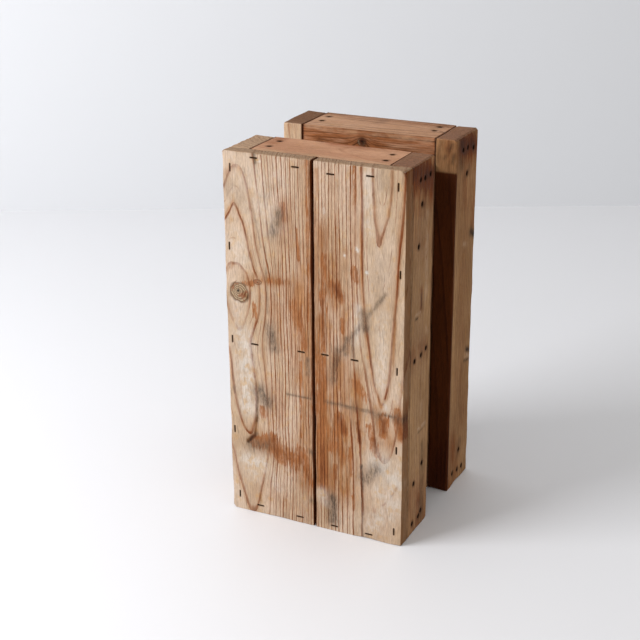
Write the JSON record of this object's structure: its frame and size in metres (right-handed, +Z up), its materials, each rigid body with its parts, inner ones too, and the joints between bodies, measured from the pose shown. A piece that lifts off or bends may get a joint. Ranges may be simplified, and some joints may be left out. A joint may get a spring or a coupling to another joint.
{
  "type": "cheese mold",
  "caption": "Old nailed pine cheese mold: a divided core box with a stapled plank face, an open mouth at the back, and two collars of battens round it.",
  "frame": {"origin": "middle of the footprint, on the surface that the mold stands on", "axes": "+Z up along the mold's length; -Y out of the plank face; +Y out of the open mouth; +X to the right, seen from the plank face"},
  "size_m": [0.254, 0.246, 0.512],
  "materials": {
    "plank_wood": "old scrubbed pine, worn pale with brown patches",
    "collar_wood": "old pine, brown and handled",
    "core_wood": "old pine, darker and whey-stained",
    "staple_steel": "tarnished wire",
    "nail_iron": "rusted iron"
  },
  "bodies": {
    "root": {"plank_left": "plank_wood", "plank_right": "plank_wood", "front_collar_left": "collar_wood", "front_collar_right": "collar_wood", "front_collar_top": "collar_wood", "front_collar_bottom": "collar_wood", "rear_collar_left": "collar_wood", "rear_collar_right": "collar_wood", "rear_collar_top": "collar_wood", "rear_collar_bottom": "collar_wood", "core_side_left": "core_wood", "core_side_right": "core_wood", "core_end_top": "core_wood", "core_end_bottom": "core_wood", "core_divider": "core_wood", "staples_left": "staple_steel", "staples_right": "staple_steel", "staples_top": "staple_steel", "staples_middle": "staple_steel", "staples_bottom": "staple_steel", "front_nails_left": "nail_iron", "front_nails_right": "nail_iron", "front_nails_top": "nail_iron", "front_nails_bottom": "nail_iron", "rear_nails_left": "nail_iron", "rear_nails_right": "nail_iron", "rear_nails_top": "nail_iron", "rear_nails_bottom": "nail_iron", "core_nails_left": "nail_iron", "core_nails_right": "nail_iron"}
  },
  "joints": []
}
